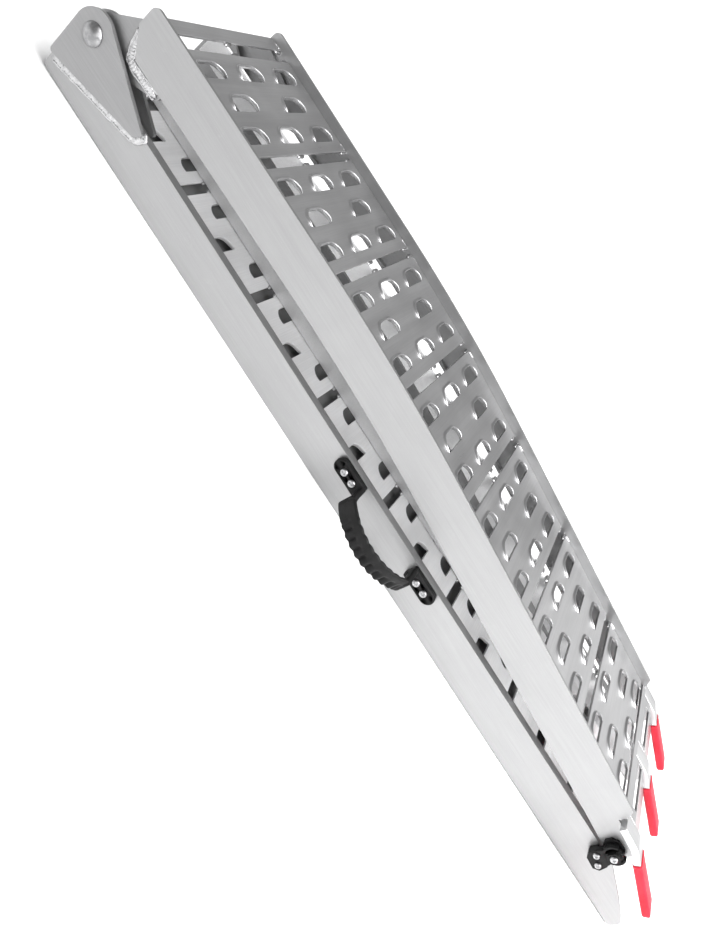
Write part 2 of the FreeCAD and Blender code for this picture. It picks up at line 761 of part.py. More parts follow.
def pan_screws(label, places, head_y, head_rule, shank_rule, depth_rule):
    """A group of pan-head screws along +Y, their heads standing on the plane head_y."""
    screws = []
    for number, centre in enumerate(places):
        head = cylinder_y(f"{label}_head_{number}", centre, head_y - 2.6, head_rule, "2.6")
        shank = cylinder_y(f"{label}_shank_{number}", centre, head_y - BURIED, shank_rule, depth_rule)
        screws.append(joined("Part::MultiFuse", f"{label}_screw_{number}", [head, shank]))
    group = joined("Part::Compound", label, screws) if len(screws) > 1 else screws[0]
    return finish(group, label)


handle_cap("handle_cap_hinge_end", -1)
handle_cap("handle_cap_lip_end", 1)
handle_grip()
pan_screws("handle_screws", [(size("handle_x") + sign * reach, size("handle_z")) for sign in (-1, 1)
                             for reach in SCREW_PLACES],
           -size("cap_thickness"), "Sheet.screw_head / 2", "Sheet.knob_screw / 2", "Sheet.cap_thickness + 1")


# ---------------------------------------------------------------- latch

KNOB = (size("knob_x"), size("knob_z"))
JAW_SCREWS = [(1045.8, -24.0), (1058.8, -29.5)]


def latch_jaw():
    """A forked keeper on the lower rail: its mouth opens upwards, so the cam lifts out of it."""
    outer, bore = size("jaw_outer"), size("jaw_bore")
    mouth = size("jaw_mouth") / 2
    lip_angle = math.degrees(math.acos(mouth / bore))
    horn_angle = math.degrees(math.acos((mouth + 2.0) / outer))
    inside = arc_between(KNOB, bore, lip_angle, -180 - lip_angle)
    left = arc_between(KNOB, outer, 180 - horn_angle, 215)
    right = arc_between(KNOB, outer, -45, horn_angle)
    foot = [(1039.5, -21.0), (1040.5, -31.5), (1046.0, -37.0), (1062.0, -38.2), (1067.0, -32.0)]
    body = new_body("latch_jaw")
    jaw = plane_sketch(body, "XZ_Plane", "latch_jaw_fork")
    add_outline(jaw, [*inside, *left, *foot, *right])
    pad(body, jaw, "Sheet.jaw_thickness", reverse=True)
    base = plane_sketch(body, "XZ_Plane", "latch_jaw_foot")
    add_outline(base, [*foot, (1064.0, -20.0), (1041.0, -20.0)])
    pad(body, base, "Sheet.jaw_foot_thickness", reverse=True)
    holes = plane_sketch(body, "XZ_Plane", "latch_jaw_holes")
    for centre in JAW_SCREWS:
        add_circle(holes, centre, "knob_bore")
    pocket(body, holes)
    return finish(body, "latch_jaw", shift=(0, -size("jaw_foot_thickness"), 0))


def latch_base():
    """The pad on the lip half that the knob turns on."""
    x, z = KNOB
    outline = [(x - 17, z - 4), (x - 12, z - 9), (x + 4, z - 10), (x + 11, z - 4), (x + 11, z + 5),
               (x + 2, z + 11.5), (x - 11, z + 11.5), (x - 17, z + 5)]
    return side_body("latch_base", outline, "Sheet.latch_base_thickness",
                     PLAY - size("latch_base_thickness"))


def latch_knob():
    """A quarter-turn cam under a round head: narrow across the mouth at rest, wide when turned."""
    body = new_body("latch_knob")
    half_width = size("cam_width") / 2
    half_height = size("cam_height") / 2
    flat = math.sqrt(half_height**2 - half_width**2)
    cam = plane_sketch(body, "XZ_Plane", "latch_knob_cam")
    add_outline(cam, [(half_width, -flat), (half_width, flat), ("arc", (0.0, half_height)), (-half_width, flat),
                      (-half_width, -flat), ("arc", (0.0, -half_height))])
    pad(body, cam, "Sheet.cam_thickness", reverse=True)
    head = plane_sketch(body, "XZ_Plane", "latch_knob_head")
    round_part = size("knob_radius")
    cheek = round_part * 0.82
    rise = math.sqrt(round_part**2 - cheek**2)
    add_outline(head, [(cheek, -rise), (cheek, rise), ("arc", (0.0, round_part)), (-cheek, rise),
                       (-cheek, -rise), ("arc", (0.0, -round_part))])
    pad(body, head, "Sheet.knob_thickness")
    bore = plane_sketch(body, "XZ_Plane", "latch_knob_bore")
    add_circle(bore, (0.0, 0.0), "knob_bore")
    pocket(body, bore)
    return finish(body, "latch_knob", shift=(KNOB[0], CAM_FRONT, KNOB[1]))


CAM_FRONT = PLAY - size("latch_base_thickness") - 0.3 - size("cam_thickness")
latch_jaw()
latch_base()
latch_knob()
pan_screws("latch_jaw_screws", JAW_SCREWS, -size("jaw_foot_thickness"),
           "Sheet.screw_head / 2 - 0.5", "Sheet.knob_screw / 2", "Sheet.jaw_foot_thickness + 1")
pan_screws("latch_knob_screw", [KNOB], CAM_FRONT - size("knob_thickness") - 0.3,
           "Sheet.screw_head / 2", "Sheet.knob_screw / 2", "Sheet.cam_thickness + Sheet.knob_thickness + 1.6")


# ---------------------------------------------------------------- checks and export

doc.recompute()
for item in doc.Objects:
    if "Invalid" in item.State or "Error" in item.State:
        raise RuntimeError(f"{item.Name} failed: {item.State}")
for part in sub_parts:
    if part.Shape.isNull() or not part.Shape.isValid():
        raise RuntimeError(f"{part.Label} has no valid shape")
    part.Shape.exportStep(f"parts/{part.Label}.step")

whole = Part.makeCompound([part.Shape for part in sub_parts]).optimalBoundingBox()
print(len(sub_parts), "sub-parts", [round(value, 2) for value in
      (whole.XMin, whole.XMax, whole.YMin, whole.YMax, whole.ZMin, whole.ZMax)])
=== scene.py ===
"""Looks of the folding loading ramp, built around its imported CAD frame.

Shapes are drawn in millimetres in a drawing frame, where the hinge pin is at x = z = 0, x runs
towards the lip, and the outer face of the handle-side rail is at y = 0. at() turns a point of it
into the frame's own metres.
"""
import math
import random

import bmesh
import bpy
from mathutils import Matrix, Vector
from mathutils.geometry import delaunay_2d_cdt

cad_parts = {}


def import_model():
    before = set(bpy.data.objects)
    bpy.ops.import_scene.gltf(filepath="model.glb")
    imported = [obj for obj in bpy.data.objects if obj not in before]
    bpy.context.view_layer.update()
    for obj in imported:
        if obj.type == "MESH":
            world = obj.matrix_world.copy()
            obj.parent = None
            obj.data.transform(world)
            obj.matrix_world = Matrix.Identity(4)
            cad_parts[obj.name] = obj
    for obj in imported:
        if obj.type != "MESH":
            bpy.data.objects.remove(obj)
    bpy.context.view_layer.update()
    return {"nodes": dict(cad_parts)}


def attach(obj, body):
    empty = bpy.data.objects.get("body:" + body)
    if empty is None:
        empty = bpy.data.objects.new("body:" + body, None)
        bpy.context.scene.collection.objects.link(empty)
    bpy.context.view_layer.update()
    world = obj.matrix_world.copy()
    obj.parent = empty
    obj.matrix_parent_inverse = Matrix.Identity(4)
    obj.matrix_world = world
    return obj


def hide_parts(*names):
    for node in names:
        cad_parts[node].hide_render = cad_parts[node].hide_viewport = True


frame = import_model()

MM = 0.001
ORIGIN = Vector((-565.5, -103.15, 74.33))  # the drawing frame's zero
SPREAD = 254.0  # over the outer faces of the two rails
MIDDLE = SPREAD / 2
WEB = 4.0  # thickness of a rail's upright
PLAY = 0.3  # the lip half is this much narrower on each side
TREAD_THICKNESS = 3.0
DECK_TOP = 42.0  # the treads' outer face above a rail's inner edge
DECK_UNDER = DECK_TOP - TREAD_THICKNESS
BEND_START, BEND_END = 320.0, 580.0  # where the rails are arched, from the pin
SIDES = ("near", "far")
draw = random.Random(11)


def at(x, y, z):
    """A point of the drawing frame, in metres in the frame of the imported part."""
    return (Vector((x, y, z)) + ORIGIN) * MM


# ---------------------------------------------------------------- side profile of the two halves

class HalfProfile:
    """Side profile of one half: v is measured from the pin towards that half's traction side.

    The rail leaves (start_u, start_v) at rise degrees and turns by turn degrees over the bend.
    """

    def __init__(self, side, start_u, start_v, rise, turn):
        self.side = side
        self.rise = math.radians(rise)
        self.fall = self.rise - math.radians(turn)
        bend_v = start_v + (BEND_START - start_u) * math.tan(self.rise)
        self.radius = (BEND_END - BEND_START) / (math.sin(self.rise) - math.sin(self.fall))
        self.centre_u = BEND_START + self.radius * math.sin(self.rise)
        self.centre_v = bend_v - self.radius * math.cos(self.rise)

    def height(self, u, offset):
        """v at u on the line that lies offset above the rail's inner edge."""
        reach = self.radius + offset
        first = self.centre_u - reach * math.sin(self.rise)
        last = self.centre_u - reach * math.sin(self.fall)
        if u < first:
            return self.centre_v + reach * math.cos(self.rise) + (u - first) * math.tan(self.rise)
        if u > last:
            return self.centre_v + reach * math.cos(self.fall) + (u - last) * math.tan(self.fall)
        return self.centre_v + math.sqrt(reach**2 - (u - self.centre_u) ** 2)


# side is +1 where the traction side faces up, as the folded ramp lies
LOWER = HalfProfile(side=-1, start_u=-23.5, start_v=18.9, rise=0.2, turn=0.4)
LIP = HalfProfile(side=1, start_u=25.0, start_v=21.4, rise=1.3, turn=5.8)
BODY = {LOWER: "lower_half", LIP: "lip_half"}
FINGER_ROOT, FINGER_BEND, FINGER_TIP = 1019.0, 1050.0, 1142.5
DROOP = math.radians(20.8)


def finger_top(x):
    """Height of a finger's upper face: level with the deck, then drooping past its bend."""
    if x <= FINGER_BEND:
        return LIP.height(x, DECK_TOP)
    return LIP.height(FINGER_BEND, DECK_TOP) - (x - FINGER_BEND) * math.tan(DROOP)


# ---------------------------------------------------------------- materials

class Graph:
    """A material under construction: noise in object space, spread and mixed into one shader."""

    def __init__(self, name):
        self.material = bpy.data.materials.new(name)
        self.material.use_nodes = True
        self.nodes = self.material.node_tree.nodes
        self.links = self.material.node_tree.links
        self.shader = self.nodes["Principled BSDF"]
        self.place = self.nodes.new("ShaderNodeTexCoord").outputs["Object"]
        self.normal = None

    def link(self, source, target):
        self.links.new(source, target)

    def noise(self, scale, detail=4.0, roughness=0.55, distortion=0.0):
        """Fractal noise whose features are 1 / scale metres along each axis."""
        mapping = self.nodes.new("ShaderNodeMapping")
        mapping.inputs["Scale"].default_value = scale
        self.link(self.place, mapping.inputs["Vector"])
        noise = self.nodes.new("ShaderNodeTexNoise")
        noise.inputs["Scale"].default_value = 1.0
        noise.inputs["Detail"].default_value = detail
        noise.inputs["Roughness"].default_value = roughness
        noise.inputs["Distortion"].default_value = distortion
        self.link(mapping.outputs["Vector"], noise.inputs["Vector"])
        return noise.outputs["Fac"]

    def spread(self, value, from_low, from_high, to_low, to_high):
        """A clamped change of range."""
        node = self.nodes.new("ShaderNodeMapRange")
        node.inputs["From Min"].default_value = from_low
        node.inputs["From Max"].default_value = from_high
        node.inputs["To Min"].default_value = to_low
        node.inputs["To Max"].default_value = to_high
        self.link(value, node.inputs["Value"])
        return node.outputs["Result"]

    def maths(self, operation, one, two):
        """A Math node on two values, each a socket or a number."""
        node = self.nodes.new("ShaderNodeMath")
        node.operation = operation
        for socket, value in zip(node.inputs, (one, two)):
            if isinstance(value, (int, float)):
                socket.default_value = value
            else:
                self.link(value, socket)
        return node.outputs[0]

    def mix(self, factor, one, two):
        """One colour fading into another, each a socket or an (r, g, b)."""
        node = self.nodes.new("ShaderNodeMix")
        node.data_type = "RGBA"
        sockets = (node.inputs[0], node.inputs[6], node.inputs[7])
        for socket, value in zip(sockets, (factor, one, two)):
            if isinstance(value, (int, float)):
                socket.default_value = value
            elif isinstance(value, tuple):
                socket.default_value = (*value, 1.0)
            else:
                self.link(value, socket)
        return node.outputs[2]

    def clouded(self, cloud, dark, light):
        """A colour that wanders softly between two."""
        return self.mix(self.spread(cloud, 0.35, 0.65, 0.0, 1.0), dark, light)

    def bump(self, height, distance, strength=1.0):
        """Add a layer of relief, distance metres high, over the ones before it."""
        node = self.nodes.new("ShaderNodeBump")
        node.inputs["Strength"].default_value = strength
        node.inputs["Distance"].default_value = distance
        self.link(height, node.inputs["Height"])
        if self.normal is not None:
            self.link(self.normal, node.inputs["Normal"])
        self.normal = node.outputs["Normal"]

    def done(self, colour, roughness, metallic=0.0, specular=0.5):
        """Join everything to the shader and hand the material over."""
        self.link(colour, self.shader.inputs["Base Color"])
        self.link(roughness, self.shader.inputs["Roughness"])
        self.shader.inputs["Metallic"].default_value = metallic
        self.shader.inputs["Specular IOR Level"].default_value = specular
        if self.normal is not None:
            self.link(self.normal, self.shader.inputs["Normal"])
        return self.material


def aluminium(name, bright, dull, grain, roughness=0.36, streaks=0.5, metallic=0.8):
    """Mill-finish aluminium: rolling lines along axis number grain, soft clouding, scuffs and pits."""
    graph = Graph(name)
    coarse = [55.0 if axis != grain else 3.0 for axis in range(3)]
    fine = [900.0 if axis != grain else 14.0 for axis in range(3)]
    lines = graph.noise(coarse, 5.0, 0.6)
    hair = graph.noise(fine, 3.0, 0.7)
    cloud = graph.noise((9.0, 9.0, 9.0), 4.0, 0.55, 0.6)
    pits = graph.noise((420.0, 420.0, 420.0), 2.0)
    scuff = graph.noise((70.0, 240.0, 110.0), 6.0, 0.75, 1.2)
    drawn = graph.maths("MULTIPLY", lines, streaks)
    tone = graph.maths("ADD", drawn, graph.maths("MULTIPLY", cloud, 1 - streaks))
    colour = graph.mix(graph.spread(tone, 0.36, 0.64, 0.0, 1.0), dull, bright)
    marks = graph.spread(scuff, 0.60, 0.74, 0.0, 0.35)
    colour = graph.mix(marks, colour, tuple(min(1.0, value * 1.18) for value in bright))
    hairlines = graph.spread(hair, 0.35, 0.65, 0.0, 0.28)
    colour = graph.mix(hairlines, colour, tuple(value * 0.8 for value in dull))
    wear = graph.maths("ADD", tone, graph.maths("MULTIPLY", hair, 0.35))
    rough = graph.spread(wear, 0.45, 0.95, roughness - 0.06, roughness + 0.12)
    graph.bump(hair, 0.00006, 0.5)
    graph.bump(lines, 0.0003, 0.35)
    graph.bump(pits, 0.00004, 0.4)
    return graph.done(colour, rough, metallic=metallic)


def weld_metal():
    """Clean aluminium weld: bright, finely frosted and slightly uneven."""
    graph = Graph("weld_aluminium")
    cloud = graph.noise((140.0, 140.0, 140.0), 4.0)
    fine = graph.noise((1100.0, 1100.0, 1100.0), 3.0)
    colour = graph.clouded(cloud, (0.42, 0.42, 0.425), (0.6, 0.6, 0.605))
    graph.bump(fine, 0.0001, 0.5)
    graph.bump(cloud, 0.0004, 0.5)
    return graph.done(colour, graph.spread(fine, 0.3, 0.7, 0.3, 0.46), metallic=1.0)


def dark_steel():
    """Plated steel of the hinge bolts, nuts and washers."""
    graph = Graph("dark_steel")
    cloud = graph.noise((160.0, 160.0, 160.0), 4.0)
    fine = graph.noise((1500.0, 1500.0, 1500.0), 3.0)
    colour = graph.clouded(cloud, (0.26, 0.26, 0.265), (0.42, 0.42, 0.425))
    graph.bump(fine, 0.00008, 0.5)
    return graph.done(colour, graph.spread(cloud, 0.3, 0.7, 0.34, 0.48), metallic=1.0)


def bright_zinc():
    """Zinc plating of the small screws."""
    graph = Graph("bright_zinc")
    cloud = graph.noise((300.0, 300.0, 300.0), 3.0)
    colour = graph.clouded(cloud, (0.34, 0.343, 0.35), (0.46, 0.46, 0.467))
    graph.bump(cloud, 0.00005, 0.4)
    return graph.done(colour, graph.spread(cloud, 0.3, 0.7, 0.32, 0.42), metallic=1.0)


def red_vinyl():
    """Dipped soft vinyl: a faint orange-peel skin with slightly deeper colour where it is thicker."""
    graph = Graph("red_vinyl")
    cloud = graph.noise((35.0, 35.0, 35.0), 4.0)
    skin = graph.noise((420.0, 420.0, 420.0), 2.0)
    colour = graph.clouded(cloud, (0.5, 0.016, 0.032), (0.59, 0.026, 0.046))
    graph.bump(skin, 0.0002, 0.35)
    return graph.done(colour, graph.spread(skin, 0.3, 0.7, 0.42, 0.56), specular=0.18)


def black_polymer(name, low, high, rough, grit):
    """Moulded black rubber or plastic with a fine skin, grit features to the metre, and a little dust."""
    graph = Graph(name)
    cloud = graph.noise((60.0, 60.0, 60.0), 4.0)
    skin = graph.noise((grit, grit, grit), 3.0, 0.6)
    dust = graph.noise((210.0, 210.0, 210.0), 5.0, 0.7)
    colour = graph.clouded(cloud, (low, low, low), (high, high, high * 1.02))
    colour = graph.mix(graph.spread(dust, 0.62, 0.8, 0.0, 0.25), colour, (0.05, 0.05, 0.05))
    graph.bump(skin, 0.00012, 0.45)
    return graph.done(colour, graph.spread(skin, 0.3, 0.7, rough - 0.05, rough + 0.1), specular=0.16)


RAIL = aluminium(
    "aluminium_rail", (0.40, 0.40, 0.403), (0.355, 0.355, 0.358), 0, 0.38, 0.4, 0.85)
SHEET = aluminium(
    "aluminium_sheet", (0.52, 0.52, 0.525), (0.42, 0.42, 0.425), 1, 0.33, 0.55, 0.85)
# A paler, mostly matt copy of the sheet aluminium: painted light, which makes the parts that take it look
# lit where they lie in shade.
SHEET_PAINTED_LIGHT = aluminium(
    "aluminium_sheet_painted_light", (0.9, 0.9, 0.905), (0.8, 0.8, 0.805), 1, 0.45, 0.5, 0.2)
PLATE = aluminium(
    "aluminium_plate", (0.33, 0.33, 0.333), (0.29, 0.29, 0.293), 0, 0.42, 0.3, 0.8)
BAR = aluminium(
    "aluminium_bar", (0.66, 0.66, 0.665), (0.56, 0.56, 0.565), 0, 0.34, 0.4, 0.85)
WELD = weld_metal()
STEEL = dark_steel()
ZINC = bright_zinc()
VINYL = red_vinyl()
RUBBER = black_polymer("black_rubber", 0.005, 0.011, 0.5, 900.0)
PLASTIC = black_polymer("black_plastic", 0.005, 0.012, 0.40, 1400.0)


# ---------------------------------------------------------------- mesh helpers

def piece(name, bm, material, body, slot, *nodes, smooth=True):
    """Turn a mesh that is already in the row frame into a piece that rides on a body."""
    bmesh.ops.recalc_face_normals(bm, faces=bm.faces)
    mesh = bpy.data.meshes.new(name)
    if smooth:
        for face in bm.faces:
            face.smooth = True
    bm.to_mesh(mesh)
    bm.free()
    mesh.materials.append(material)
    obj = bpy.data.objects.new(name, mesh)
    bpy.context.scene.collection.objects.link(obj)
    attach(obj, body)
    if nodes:
        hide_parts(*nodes)
    return obj


def keep_sharp(obj, degrees):
    """Smooth shading that still breaks at real corners."""
    obj.data.shade_smooth()
    obj.data.set_sharp_from_angle(angle=math.radians(degrees))


def bevelled(obj, width, segments):
    """Rounded edges on a mesh, width millimetres wide, as modifiers."""
    weld = obj.modifiers.new("weld", "WELD")
    weld.merge_threshold = 0.00002
    bevel = obj.modifiers.new("bevel", "BEVEL")
    bevel.width = width * MM
    bevel.segments = segments
    bevel.limit_method = "ANGLE"
    bevel.angle_limit = math.radians(32)
    bevel.harden_normals = True


def cad_look(names, material, width, segments=2):
    """Give CAD nodes their finish and rounded edges."""
    for name in names:
        node = frame["nodes"][name]
        node.data.materials.clear()
        node.data.materials.append(material)
        bevelled(node, width, segments)


def ring(bm, points):
    """One closed loop of vertices."""
    return [bm.verts.new(point) for point in points]


def join_rings(bm, one, two):
    """A band of quads between two loops of the same length."""
    count = len(one)
    for index in range(count):
        following = (index + 1) % count
        bm.faces.new((one[index], one[following], two[following], two[index]))


def sweep(bm, rings):
    """Skin a list of rings of points, closed at both ends."""
    made = [ring(bm, points) for points in rings]
    for one, two in zip(made, made[1:]):
        join_rings(bm, one, two)
    bm.faces.new(made[0])
    bm.faces.new(made[-1])


def rounded_section(width, height, radius, per_corner):
    """A rounded rectangle about its middle, as (across, up) pairs."""
    points = []
    for corner, (sx, sy) in enumerate(((1, 1), (-1, 1), (-1, -1), (1, -1))):
        centre = (sx * (width / 2 - radius), sy * (height / 2 - radius))
        for step in range(per_corner + 1):
            angle = math.radians(90 * corner + 90 * step / per_corner)
            across = centre[0] + radius * math.cos(angle)
            points.append((across, centre[1] + radius * math.sin(angle)))
    return points


def section_ring(centre, up, section):
    """A section stood at a drawing-frame centre, across along y and up along its own upright."""
    return [at(*(centre + Vector((0, across, 0)) + up * rise)) for across, rise in section]


# ---------------------------------------------------------------- treads with drawn D-shaped holes

HOLE_LENGTH = 48.0
HOLE_WIDTH = 19.0
FRONT_CORNER = 15.0  # radius at the round side of a D
BACK_CORNER = 1.6  # radius at its straight side
WIDE_PITCH = 80.5  # from hole to hole in a row of three
HALF_NARROW_PITCH = {LIP: 57.5, LOWER: 48.5}  # from the middle to each hole of a row of two
# how far out from the hole's edge and how high each ring of the drawn rim stands
RIM_TOP = ((3.6, 0.0), (3.0, 0.1), (2.4, 0.5), (1.9, 1.3),
           (1.4, 2.15), (0.9, 2.5), (0.35, 2.35), (0.0, 1.8))
RIM_INSIDE = ((0.0, -0.4), (0.0, -2.2), (0.35, -2.8), (0.7, -3.0))


def smoothstep(value):
    """0 to 1 with soft ends, held outside that range."""
    value = min(1.0, max(0.0, value))
    return value * value * (3 - 2 * value)


def hole_outline():
    """(point, outward direction) pairs round a D: round towards -x, straight towards +x."""
    outline = []
    half = HOLE_LENGTH / 2
    back = HOLE_WIDTH / 2
    corners = ((back - BACK_CORNER, half - BACK_CORNER, BACK_CORNER, 3),
               (-back + FRONT_CORNER, half - FRONT_CORNER, FRONT_CORNER, 7),
               (-back + FRONT_CORNER, -half + FRONT_CORNER, FRONT_CORNER, 7),
               (back - BACK_CORNER, -half + BACK_CORNER, BACK_CORNER, 3))
    for quarter, (x, y, radius, count) in enumerate(corners):
        for step in range(count + 1):
            angle = math.radians(90 * quarter + 90 * step / count)
            direction = Vector((math.cos(angle), math.sin(angle)))
            outline.append((Vector((x, y)) + direction * radius, direction))
    last, first = outline[-1][0], outline[0][0]
    for step in range(1, 5):
        outline.append((last.lerp(first, step / 5), Vector((1, 0))))
    return outline


def fill_between(bm, loops):
    """Fill a flat plate's outline, the first loop, around the openings, the other loops."""
    corners, edges = [], []
    for loop in loops:
        first = len(corners)
        corners.extend(loop)
        count = len(loop)
        edges.extend((first + index, first + (index + 1) % count) for index in range(count))
    spots = [corner.co.xy for corner in corners]
    openings = [[corner.co.xy for corner in loop] for loop in loops[1:]]
    made = delaunay_2d_cdt(spots, edges, [], 1, 1e-7)
    made_spots, triangles, source_corners = made[0], made[2], made[3]
    for triangle in triangles:
        middle = sum((made_spots[index] for index in triangle), Vector((0, 0))) / 3
        if any(inside(middle, opening) for opening in openings):
            continue
        bm.faces.new([corners[source_corners[index][0]] for index in triangle])


def inside(point, loop):
    """Whether a point lies in a loop, by the edges crossed on the way out towards +x."""
    crossings = 0
    for one, two in zip(loop, loop[1:] + loop[:1]):
        if (one.y > point.y) != (two.y > point.y):
            if point.x < one.x + (point.y - one.y) / (two.y - one.y) * (two.x - one.x):
                crossings += 1
    return crossings % 2 == 1


def plate_border(bm, length, width, inset, z):
    x, y = length / 2 - inset, width / 2 - inset
    corners = ((-x, -y), (x, -y), (x, y), (-x, y))
    return ring(bm, [Vector((a, b, z)) for a, b in corners])


def rim_ring(bm, place, outline, out, up):
    """One ring of a drawn rim, which runs out to nothing along the straight side of the D."""
    points = []
    for point, direction in outline:
        height = smoothstep((HOLE_WIDTH / 2 + 0.4 - point.x) / 7.0)
        lift = up * height if up > 0 else up
        spot = point + direction * (out * (0.1 + 0.9 * height))
        points.append(Vector((place[0] + spot.x, place[1] + spot.y, lift)))
    return ring(bm, points)


def tread_bmesh(length, width, places):
    """A sheet tread about its own middle: top at z = 0, its holes drawn up into soft rims."""
    bm = bmesh.new()
    outline = hole_outline()
    sides = [plate_border(bm, length, width, inset, z)
             for inset, z in ((0.5, 0.0), (0.0, -0.5), (0.0, -2.5), (0.5, -TREAD_THICKNESS))]
    for one, two in zip(sides, sides[1:]):
        join_rings(bm, one, two)
    top_loops, under_loops = [sides[0]], [sides[-1]]
    flat_faces = set(bm.faces)
    for place in places:
        rings = [rim_ring(bm, place, outline, out, up) for out, up in RIM_TOP + RIM_INSIDE]
        for one, two in zip(rings, rings[1:]):
            join_rings(bm, one, two)
        top_loops.append(rings[0])
        under_loops.append(rings[-1])
    for face in bm.faces:
        face.smooth = face not in flat_faces
    for loops in (top_loops, under_loops):
        fill_between(bm, loops)
    return bm


def hole_places(half, rows, length):
    """Middles of the holes, in rows of three, two and three from the hinge side."""
    rows_of = ((-WIDE_PITCH, 0.0, WIDE_PITCH), (-HALF_NARROW_PITCH[half], HALF_NARROW_PITCH[half]))
    places = []
    for index, from_edge in enumerate(rows):
        places.extend((from_edge - length / 2, y) for y in rows_of[index % 2])
    return places


def tread(name, half, start_u, length, rows):
    """One tread, drawn flat and then set on the profile of its half."""
    width = SPREAD - 2 * WEB - (2 * PLAY if half is LIP else 0)
    bm = tread_bmesh(length, width, hole_places(half, rows, length))
    first = half.height(start_u, DECK_TOP)
    last = half.height(start_u + length, DECK_TOP)
    tilt = math.atan2(last - first, length)
    turn = Matrix.Rotation(-half.side * tilt, 4, "Y")
    if half is LOWER:
        turn = turn @ Matrix.Rotation(math.pi, 4, "X")
    middle = Vector((start_u + length / 2, MIDDLE, half.side * (first + last) / 2)) + ORIGIN
    placed = Matrix.Scale(MM, 4) @ Matrix.Translation(middle) @ turn
    bmesh.ops.transform(bm, matrix=placed, verts=bm.verts)
    # the lower half's treads take the paler copy of the sheet: painted light
    metal = SHEET if half is LIP else SHEET_PAINTED_LIGHT
    piece(f"{name}_sheet", bm, metal, BODY[half], "mill_aluminium", name, smooth=False)


# (start from the pin, length, rows of holes from the tread's own hinge-side edge)
LIP_START, LIP_PITCH = 62.0, 140.6
LOWER_START, LOWER_PITCH = 8.0, 145.0
LIP_TREADS = [(LIP_START + LIP_PITCH * number, 127.0, (24.0, 63.0, 103.0)) for number in range(6)]
LIP_TREADS.append((LIP_START + LIP_PITCH * 6, 99.0, (18.0, 55.0, 88.5)))
LOWER_TREADS = [(LOWER_START + LOWER_PITCH * number, 131.0, (25.0, 65.5, 106.0)) for number in range(7)]
for number, (start, length, rows) in enumerate(LIP_TREADS, start=1):
    tread(f"tread_lip_{number}", LIP, start, length, rows)
for number, (start, length, rows) in enumerate(LOWER_TREADS, start=1):
    tread(f"tread_lower_{number}", LOWER, start, length, rows)


# ---------------------------------------------------------------- weld beads

def bead_stations(path):
    """(place, distance from the start) every 0.7 mm or so along a path."""
    stations = []
    travelled = 0.0
    for start, end in zip(path, path[1:]):
        start, end = Vector(start), Vector(end)
        run = (end - start).length
        count = max(2, round(run / 0.7))
        for step in range(count):
            stations.append((start.lerp(end, step / count), travelled + run * step / count))
        travelled += run
    stations.append((Vector(path[-1]), travelled))
    return stations


def bead(bm, path, radius, outward, flat):
    """One rippled weld bead along a drawing-frame path, swelling towards outward."""
    outward = Vector(outward).normalized()
    stations = bead_stations(path)
    length = stations[-1][1]
    pitch = radius * 0.62
    phase = draw.random() * math.tau
    rings = []
    for index, (centre, distance) in enumerate(stations):
        before = stations[max(0, index - 3)][0]
        after = stations[min(len(stations) - 1, index + 3)][0]
        tangent = (after - before).normalized()
        across = tangent.cross(outward).normalized()
        end_gap = min(distance, length - distance)
        swell = math.sqrt(max(0.06, min(1.0, end_gap / (radius * 0.9))))
        ripple = 1.0 + 0.13 * math.cos(math.tau * distance / pitch + phase)
        drift = 0.12 * math.sin(distance * 0.35 + phase) + 0.08 * math.sin(distance * 0.93)
        size = radius * swell * ripple * (1 + 0.08 * math.sin(distance * 0.21 + phase))
        points = []
        for step in range(12):
            angle = math.tau * step / 12
            sideways = across * (size * math.cos(angle) + drift * radius)
            raised = outward * (size * flat * math.sin(angle))
            lag = tangent * (-0.4 * radius * math.cos(angle) ** 2)
            points.append(at(*(centre + sideways + raised + lag)))
        rings.append(points)
    sweep(bm, rings)


def weld_group(name, body, beads):
    """Beads that ride together as one piece."""
    bm = bmesh.new()
    for path, radius, outward, flat in beads:
        bead(bm, path, radius, outward, flat)
    piece(name, bm, WELD, body, "mill_aluminium")


def mirrored(beads):
    """The same beads on the far side."""
    far = []
    for path, radius, outward, flat in beads:
        far_path = [(x, SPREAD - y, z) for x, y, z in path]
        far.append((far_path, radius, (outward[0], -outward[1], outward[2]), flat))
    return far


def wide_bead(path, radius, outward):
    """A broad bead: a low crown between two raised toes."""
    beads = [(path, radius, outward, 0.42)]
    for side in (-1, 1):
        moved = []
        for index, point in enumerate(path):
            before, after = path[max(0, index - 1)], path[min(len(path) - 1, index + 1)]
            run = Vector((after[0] - before[0], 0, after[2] - before[2])).normalized()
            reach = side * radius * 0.78
            raised = point[1] + outward[1] * 0.25
            moved.append((point[0] - run.z * reach, raised, point[2] + run.x * reach))
        beads.append((moved, radius * 0.34, outward, 1.0))
    return beads


# along the lower edge of the outer clevis plate and round its point, and round the cut-back end
# of the lip rail, where it lies on the hinge arm
CLEVIS_WELD = wide_bead(
    [(-17.0, -1.4, -55.6), (96.5, -1.4, -29.6), (103.0, -1.4, -25.0), (106.5, -1.4, -18.5),
     (102.0, -2.0, -15.0)], 5.0, (0, -1, 0))
ARM_WELD = wide_bead(
    [(30.4, 3.4, 45.0), (35.5, 3.4, 26.5), (41.0, 3.4, 16.5), (49.0, 3.4, 15.2),
     (85.0, 3.4, 17.6)], 5.4, (0, -1, 0))
weld_group("weld_clevis_near", "lower_half", CLEVIS_WELD)
weld_group("weld_clevis_far", "lower_half", mirrored(CLEVIS_WELD))
weld_group("weld_arm_near", "lip_half", ARM_WELD)
weld_group("weld_arm_far", "lip_half", mirrored(ARM_WELD))


